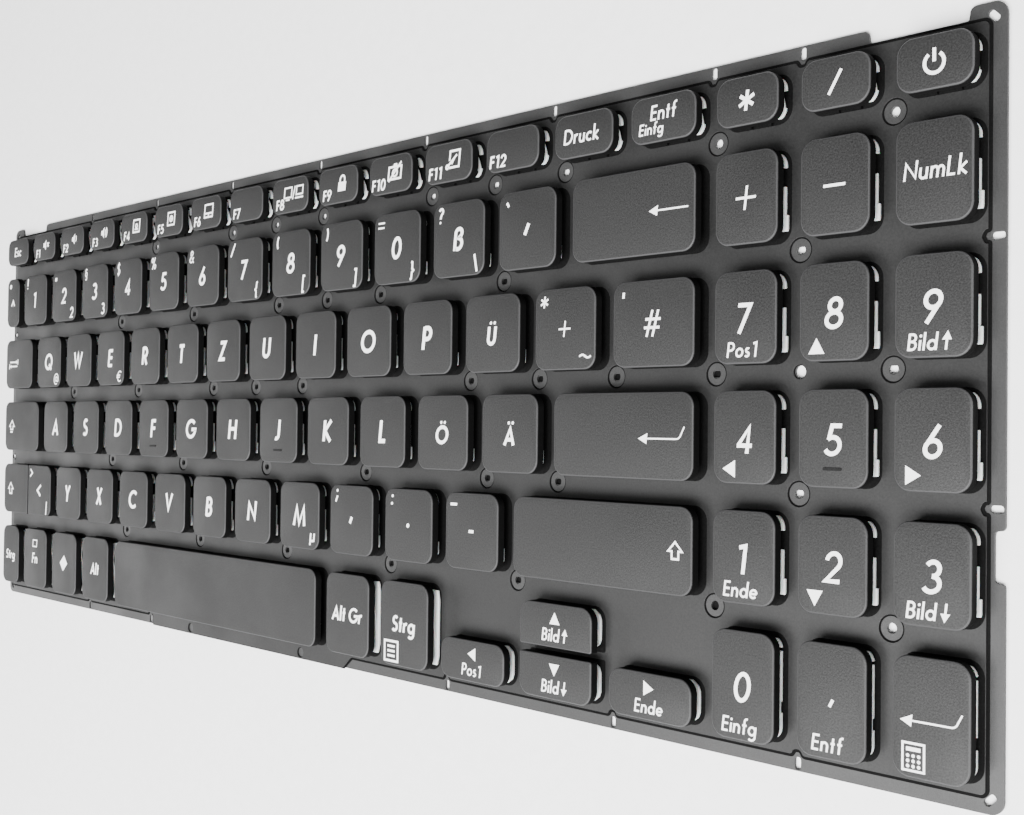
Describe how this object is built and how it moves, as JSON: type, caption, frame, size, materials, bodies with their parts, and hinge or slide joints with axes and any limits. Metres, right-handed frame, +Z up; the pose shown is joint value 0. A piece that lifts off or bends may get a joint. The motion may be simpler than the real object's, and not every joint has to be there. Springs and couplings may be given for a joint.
{
  "type": "laptop replacement keyboard",
  "caption": "Flat keyboard module for a laptop: sprung scissor keys and a number pad on a thin metal plate with a membrane sheet and screw holes.",
  "frame": {"origin": "centre of the plan box at the plate's back face, on which the part lies", "axes": "+X along the rows towards the number pad, +Y from the space bar towards the top row, +Z up out of the key tops"},
  "size_m": [0.3228, 0.1136, 0.0042],
  "materials": {
    "plate": "satin dark grey coat",
    "membrane": "matte black film",
    "keycap": "fine-grained matte black, white printed legends",
    "lever": "natural pale grey",
    "dome": "translucent grey silicone",
    "wire": "drawn steel wire"
  },
  "bodies": {
    "base": {"base_plate": "plate", "membrane": "membrane", "rubber_domes": "dome", "scissor_levers": "lever", "stabilisers": "wire", "fixed_keys": "keycap"},
    "pad_plus": {"pad_plus": "keycap"},
    "pad_minus": {"pad_minus": "keycap"},
    "pad_lock": {"pad_lock": "keycap"},
    "pad_7": {"pad_7": "keycap"},
    "pad_8": {"pad_8": "keycap"},
    "pad_9": {"pad_9": "keycap"},
    "pad_4": {"pad_4": "keycap"},
    "pad_5": {"pad_5": "keycap"},
    "pad_6": {"pad_6": "keycap"},
    "pad_1": {"pad_1": "keycap"},
    "pad_2": {"pad_2": "keycap"},
    "pad_3": {"pad_3": "keycap"},
    "pad_0": {"pad_0": "keycap"},
    "pad_comma": {"pad_comma": "keycap"},
    "pad_enter": {"pad_enter": "keycap"},
    "key_enter": {"key_enter": "keycap"},
    "key_backspace": {"key_backspace": "keycap"},
    "key_right_shift": {"key_right_shift": "keycap"},
    "key_space": {"key_space": "keycap"},
    "key_left_shift": {"key_left_shift": "keycap"},
    "key_tab": {"key_tab": "keycap"},
    "arrow_left": {"arrow_left": "keycap"},
    "arrow_down": {"arrow_down": "keycap"},
    "arrow_up": {"arrow_up": "keycap"},
    "arrow_right": {"arrow_right": "keycap"},
    "key_q": {"key_q": "keycap"},
    "key_w": {"key_w": "keycap"},
    "key_e": {"key_e": "keycap"},
    "key_r": {"key_r": "keycap"},
    "key_t": {"key_t": "keycap"},
    "key_z": {"key_z": "keycap"},
    "key_u": {"key_u": "keycap"},
    "key_i": {"key_i": "keycap"},
    "key_o": {"key_o": "keycap"},
    "key_p": {"key_p": "keycap"},
    "key_ue": {"key_ue": "keycap"},
    "key_a": {"key_a": "keycap"},
    "key_s": {"key_s": "keycap"},
    "key_d": {"key_d": "keycap"},
    "key_f": {"key_f": "keycap"},
    "key_g": {"key_g": "keycap"},
    "key_h": {"key_h": "keycap"},
    "key_j": {"key_j": "keycap"},
    "key_k": {"key_k": "keycap"},
    "key_l": {"key_l": "keycap"},
    "key_oe": {"key_oe": "keycap"},
    "key_ae": {"key_ae": "keycap"},
    "key_y": {"key_y": "keycap"},
    "key_x": {"key_x": "keycap"},
    "key_c": {"key_c": "keycap"},
    "key_v": {"key_v": "keycap"},
    "key_b": {"key_b": "keycap"},
    "key_n": {"key_n": "keycap"},
    "key_m": {"key_m": "keycap"}
  },
  "joints": [
    {"name": "pad_plus_press", "type": "slide", "parent": "base", "child": "pad_plus", "axis": [0, 0, -1], "range_m": [0, 0.0014], "stiffness_N_per_m": 300, "springref_m": -0.001, "deforming": ["rubber_domes", "scissor_levers", "stabilisers"]},
    {"name": "pad_minus_press", "type": "slide", "parent": "base", "child": "pad_minus", "axis": [0, 0, -1], "range_m": [0, 0.0014], "stiffness_N_per_m": 300, "springref_m": -0.001, "deforming": ["rubber_domes", "scissor_levers", "stabilisers"]},
    {"name": "pad_lock_press", "type": "slide", "parent": "base", "child": "pad_lock", "axis": [0, 0, -1], "range_m": [0, 0.0014], "stiffness_N_per_m": 300, "springref_m": -0.001, "deforming": ["rubber_domes", "scissor_levers", "stabilisers"]},
    {"name": "pad_7_press", "type": "slide", "parent": "base", "child": "pad_7", "axis": [0, 0, -1], "range_m": [0, 0.0014], "stiffness_N_per_m": 300, "springref_m": -0.001, "deforming": ["rubber_domes", "scissor_levers", "stabilisers"]},
    {"name": "pad_8_press", "type": "slide", "parent": "base", "child": "pad_8", "axis": [0, 0, -1], "range_m": [0, 0.0014], "stiffness_N_per_m": 300, "springref_m": -0.001, "deforming": ["rubber_domes", "scissor_levers", "stabilisers"]},
    {"name": "pad_9_press", "type": "slide", "parent": "base", "child": "pad_9", "axis": [0, 0, -1], "range_m": [0, 0.0014], "stiffness_N_per_m": 300, "springref_m": -0.001, "deforming": ["rubber_domes", "scissor_levers", "stabilisers"]},
    {"name": "pad_4_press", "type": "slide", "parent": "base", "child": "pad_4", "axis": [0, 0, -1], "range_m": [0, 0.0014], "stiffness_N_per_m": 300, "springref_m": -0.001, "deforming": ["rubber_domes", "scissor_levers", "stabilisers"]},
    {"name": "pad_5_press", "type": "slide", "parent": "base", "child": "pad_5", "axis": [0, 0, -1], "range_m": [0, 0.0014], "stiffness_N_per_m": 300, "springref_m": -0.001, "deforming": ["rubber_domes", "scissor_levers", "stabilisers"]},
    {"name": "pad_6_press", "type": "slide", "parent": "base", "child": "pad_6", "axis": [0, 0, -1], "range_m": [0, 0.0014], "stiffness_N_per_m": 300, "springref_m": -0.001, "deforming": ["rubber_domes", "scissor_levers", "stabilisers"]},
    {"name": "pad_1_press", "type": "slide", "parent": "base", "child": "pad_1", "axis": [0, 0, -1], "range_m": [0, 0.0014], "stiffness_N_per_m": 300, "springref_m": -0.001, "deforming": ["rubber_domes", "scissor_levers", "stabilisers"]},
    {"name": "pad_2_press", "type": "slide", "parent": "base", "child": "pad_2", "axis": [0, 0, -1], "range_m": [0, 0.0014], "stiffness_N_per_m": 300, "springref_m": -0.001, "deforming": ["rubber_domes", "scissor_levers", "stabilisers"]},
    {"name": "pad_3_press", "type": "slide", "parent": "base", "child": "pad_3", "axis": [0, 0, -1], "range_m": [0, 0.0014], "stiffness_N_per_m": 300, "springref_m": -0.001, "deforming": ["rubber_domes", "scissor_levers", "stabilisers"]},
    {"name": "pad_0_press", "type": "slide", "parent": "base", "child": "pad_0", "axis": [0, 0, -1], "range_m": [0, 0.0014], "stiffness_N_per_m": 300, "springref_m": -0.001, "deforming": ["rubber_domes", "scissor_levers", "stabilisers"]},
    {"name": "pad_comma_press", "type": "slide", "parent": "base", "child": "pad_comma", "axis": [0, 0, -1], "range_m": [0, 0.0014], "stiffness_N_per_m": 300, "springref_m": -0.001, "deforming": ["rubber_domes", "scissor_levers", "stabilisers"]},
    {"name": "pad_enter_press", "type": "slide", "parent": "base", "child": "pad_enter", "axis": [0, 0, -1], "range_m": [0, 0.0014], "stiffness_N_per_m": 300, "springref_m": -0.001, "deforming": ["rubber_domes", "scissor_levers", "stabilisers"]},
    {"name": "key_enter_press", "type": "slide", "parent": "base", "child": "key_enter", "axis": [0, 0, -1], "range_m": [0, 0.0014], "stiffness_N_per_m": 300, "springref_m": -0.001, "deforming": ["rubber_domes", "scissor_levers", "stabilisers"]},
    {"name": "key_backspace_press", "type": "slide", "parent": "base", "child": "key_backspace", "axis": [0, 0, -1], "range_m": [0, 0.0014], "stiffness_N_per_m": 300, "springref_m": -0.001, "deforming": ["rubber_domes", "scissor_levers", "stabilisers"]},
    {"name": "key_right_shift_press", "type": "slide", "parent": "base", "child": "key_right_shift", "axis": [0, 0, -1], "range_m": [0, 0.0014], "stiffness_N_per_m": 300, "springref_m": -0.001, "deforming": ["rubber_domes", "scissor_levers", "stabilisers"]},
    {"name": "key_space_press", "type": "slide", "parent": "base", "child": "key_space", "axis": [0, 0, -1], "range_m": [0, 0.0014], "stiffness_N_per_m": 300, "springref_m": -0.001, "deforming": ["rubber_domes", "scissor_levers", "stabilisers"]},
    {"name": "key_left_shift_press", "type": "slide", "parent": "base", "child": "key_left_shift", "axis": [0, 0, -1], "range_m": [0, 0.0014], "stiffness_N_per_m": 300, "springref_m": -0.001, "deforming": ["rubber_domes", "scissor_levers", "stabilisers"]},
    {"name": "key_tab_press", "type": "slide", "parent": "base", "child": "key_tab", "axis": [0, 0, -1], "range_m": [0, 0.0014], "stiffness_N_per_m": 300, "springref_m": -0.001, "deforming": ["rubber_domes", "scissor_levers", "stabilisers"]},
    {"name": "arrow_left_press", "type": "slide", "parent": "base", "child": "arrow_left", "axis": [0, 0, -1], "range_m": [0, 0.0014], "stiffness_N_per_m": 300, "springref_m": -0.001, "deforming": ["rubber_domes", "scissor_levers", "stabilisers"]},
    {"name": "arrow_down_press", "type": "slide", "parent": "base", "child": "arrow_down", "axis": [0, 0, -1], "range_m": [0, 0.0014], "stiffness_N_per_m": 300, "springref_m": -0.001, "deforming": ["rubber_domes", "scissor_levers", "stabilisers"]},
    {"name": "arrow_up_press", "type": "slide", "parent": "base", "child": "arrow_up", "axis": [0, 0, -1], "range_m": [0, 0.0014], "stiffness_N_per_m": 300, "springref_m": -0.001, "deforming": ["rubber_domes", "scissor_levers", "stabilisers"]},
    {"name": "arrow_right_press", "type": "slide", "parent": "base", "child": "arrow_right", "axis": [0, 0, -1], "range_m": [0, 0.0014], "stiffness_N_per_m": 300, "springref_m": -0.001, "deforming": ["rubber_domes", "scissor_levers", "stabilisers"]},
    {"name": "key_q_press", "type": "slide", "parent": "base", "child": "key_q", "axis": [0, 0, -1], "range_m": [0, 0.0014], "stiffness_N_per_m": 300, "springref_m": -0.001, "deforming": ["rubber_domes", "scissor_levers", "stabilisers"]},
    {"name": "key_w_press", "type": "slide", "parent": "base", "child": "key_w", "axis": [0, 0, -1], "range_m": [0, 0.0014], "stiffness_N_per_m": 300, "springref_m": -0.001, "deforming": ["rubber_domes", "scissor_levers", "stabilisers"]},
    {"name": "key_e_press", "type": "slide", "parent": "base", "child": "key_e", "axis": [0, 0, -1], "range_m": [0, 0.0014], "stiffness_N_per_m": 300, "springref_m": -0.001, "deforming": ["rubber_domes", "scissor_levers", "stabilisers"]},
    {"name": "key_r_press", "type": "slide", "parent": "base", "child": "key_r", "axis": [0, 0, -1], "range_m": [0, 0.0014], "stiffness_N_per_m": 300, "springref_m": -0.001, "deforming": ["rubber_domes", "scissor_levers", "stabilisers"]},
    {"name": "key_t_press", "type": "slide", "parent": "base", "child": "key_t", "axis": [0, 0, -1], "range_m": [0, 0.0014], "stiffness_N_per_m": 300, "springref_m": -0.001, "deforming": ["rubber_domes", "scissor_levers", "stabilisers"]},
    {"name": "key_z_press", "type": "slide", "parent": "base", "child": "key_z", "axis": [0, 0, -1], "range_m": [0, 0.0014], "stiffness_N_per_m": 300, "springref_m": -0.001, "deforming": ["rubber_domes", "scissor_levers", "stabilisers"]},
    {"name": "key_u_press", "type": "slide", "parent": "base", "child": "key_u", "axis": [0, 0, -1], "range_m": [0, 0.0014], "stiffness_N_per_m": 300, "springref_m": -0.001, "deforming": ["rubber_domes", "scissor_levers", "stabilisers"]},
    {"name": "key_i_press", "type": "slide", "parent": "base", "child": "key_i", "axis": [0, 0, -1], "range_m": [0, 0.0014], "stiffness_N_per_m": 300, "springref_m": -0.001, "deforming": ["rubber_domes", "scissor_levers", "stabilisers"]},
    {"name": "key_o_press", "type": "slide", "parent": "base", "child": "key_o", "axis": [0, 0, -1], "range_m": [0, 0.0014], "stiffness_N_per_m": 300, "springref_m": -0.001, "deforming": ["rubber_domes", "scissor_levers", "stabilisers"]},
    {"name": "key_p_press", "type": "slide", "parent": "base", "child": "key_p", "axis": [0, 0, -1], "range_m": [0, 0.0014], "stiffness_N_per_m": 300, "springref_m": -0.001, "deforming": ["rubber_domes", "scissor_levers", "stabilisers"]},
    {"name": "key_ue_press", "type": "slide", "parent": "base", "child": "key_ue", "axis": [0, 0, -1], "range_m": [0, 0.0014], "stiffness_N_per_m": 300, "springref_m": -0.001, "deforming": ["rubber_domes", "scissor_levers", "stabilisers"]},
    {"name": "key_a_press", "type": "slide", "parent": "base", "child": "key_a", "axis": [0, 0, -1], "range_m": [0, 0.0014], "stiffness_N_per_m": 300, "springref_m": -0.001, "deforming": ["rubber_domes", "scissor_levers", "stabilisers"]},
    {"name": "key_s_press", "type": "slide", "parent": "base", "child": "key_s", "axis": [0, 0, -1], "range_m": [0, 0.0014], "stiffness_N_per_m": 300, "springref_m": -0.001, "deforming": ["rubber_domes", "scissor_levers", "stabilisers"]},
    {"name": "key_d_press", "type": "slide", "parent": "base", "child": "key_d", "axis": [0, 0, -1], "range_m": [0, 0.0014], "stiffness_N_per_m": 300, "springref_m": -0.001, "deforming": ["rubber_domes", "scissor_levers", "stabilisers"]},
    {"name": "key_f_press", "type": "slide", "parent": "base", "child": "key_f", "axis": [0, 0, -1], "range_m": [0, 0.0014], "stiffness_N_per_m": 300, "springref_m": -0.001, "deforming": ["rubber_domes", "scissor_levers", "stabilisers"]},
    {"name": "key_g_press", "type": "slide", "parent": "base", "child": "key_g", "axis": [0, 0, -1], "range_m": [0, 0.0014], "stiffness_N_per_m": 300, "springref_m": -0.001, "deforming": ["rubber_domes", "scissor_levers", "stabilisers"]},
    {"name": "key_h_press", "type": "slide", "parent": "base", "child": "key_h", "axis": [0, 0, -1], "range_m": [0, 0.0014], "stiffness_N_per_m": 300, "springref_m": -0.001, "deforming": ["rubber_domes", "scissor_levers", "stabilisers"]},
    {"name": "key_j_press", "type": "slide", "parent": "base", "child": "key_j", "axis": [0, 0, -1], "range_m": [0, 0.0014], "stiffness_N_per_m": 300, "springref_m": -0.001, "deforming": ["rubber_domes", "scissor_levers", "stabilisers"]},
    {"name": "key_k_press", "type": "slide", "parent": "base", "child": "key_k", "axis": [0, 0, -1], "range_m": [0, 0.0014], "stiffness_N_per_m": 300, "springref_m": -0.001, "deforming": ["rubber_domes", "scissor_levers", "stabilisers"]},
    {"name": "key_l_press", "type": "slide", "parent": "base", "child": "key_l", "axis": [0, 0, -1], "range_m": [0, 0.0014], "stiffness_N_per_m": 300, "springref_m": -0.001, "deforming": ["rubber_domes", "scissor_levers", "stabilisers"]},
    {"name": "key_oe_press", "type": "slide", "parent": "base", "child": "key_oe", "axis": [0, 0, -1], "range_m": [0, 0.0014], "stiffness_N_per_m": 300, "springref_m": -0.001, "deforming": ["rubber_domes", "scissor_levers", "stabilisers"]},
    {"name": "key_ae_press", "type": "slide", "parent": "base", "child": "key_ae", "axis": [0, 0, -1], "range_m": [0, 0.0014], "stiffness_N_per_m": 300, "springref_m": -0.001, "deforming": ["rubber_domes", "scissor_levers", "stabilisers"]},
    {"name": "key_y_press", "type": "slide", "parent": "base", "child": "key_y", "axis": [0, 0, -1], "range_m": [0, 0.0014], "stiffness_N_per_m": 300, "springref_m": -0.001, "deforming": ["rubber_domes", "scissor_levers", "stabilisers"]},
    {"name": "key_x_press", "type": "slide", "parent": "base", "child": "key_x", "axis": [0, 0, -1], "range_m": [0, 0.0014], "stiffness_N_per_m": 300, "springref_m": -0.001, "deforming": ["rubber_domes", "scissor_levers", "stabilisers"]},
    {"name": "key_c_press", "type": "slide", "parent": "base", "child": "key_c", "axis": [0, 0, -1], "range_m": [0, 0.0014], "stiffness_N_per_m": 300, "springref_m": -0.001, "deforming": ["rubber_domes", "scissor_levers", "stabilisers"]},
    {"name": "key_v_press", "type": "slide", "parent": "base", "child": "key_v", "axis": [0, 0, -1], "range_m": [0, 0.0014], "stiffness_N_per_m": 300, "springref_m": -0.001, "deforming": ["rubber_domes", "scissor_levers", "stabilisers"]},
    {"name": "key_b_press", "type": "slide", "parent": "base", "child": "key_b", "axis": [0, 0, -1], "range_m": [0, 0.0014], "stiffness_N_per_m": 300, "springref_m": -0.001, "deforming": ["rubber_domes", "scissor_levers", "stabilisers"]},
    {"name": "key_n_press", "type": "slide", "parent": "base", "child": "key_n", "axis": [0, 0, -1], "range_m": [0, 0.0014], "stiffness_N_per_m": 300, "springref_m": -0.001, "deforming": ["rubber_domes", "scissor_levers", "stabilisers"]},
    {"name": "key_m_press", "type": "slide", "parent": "base", "child": "key_m", "axis": [0, 0, -1], "range_m": [0, 0.0014], "stiffness_N_per_m": 300, "springref_m": -0.001, "deforming": ["rubber_domes", "scissor_levers", "stabilisers"]}
  ]
}
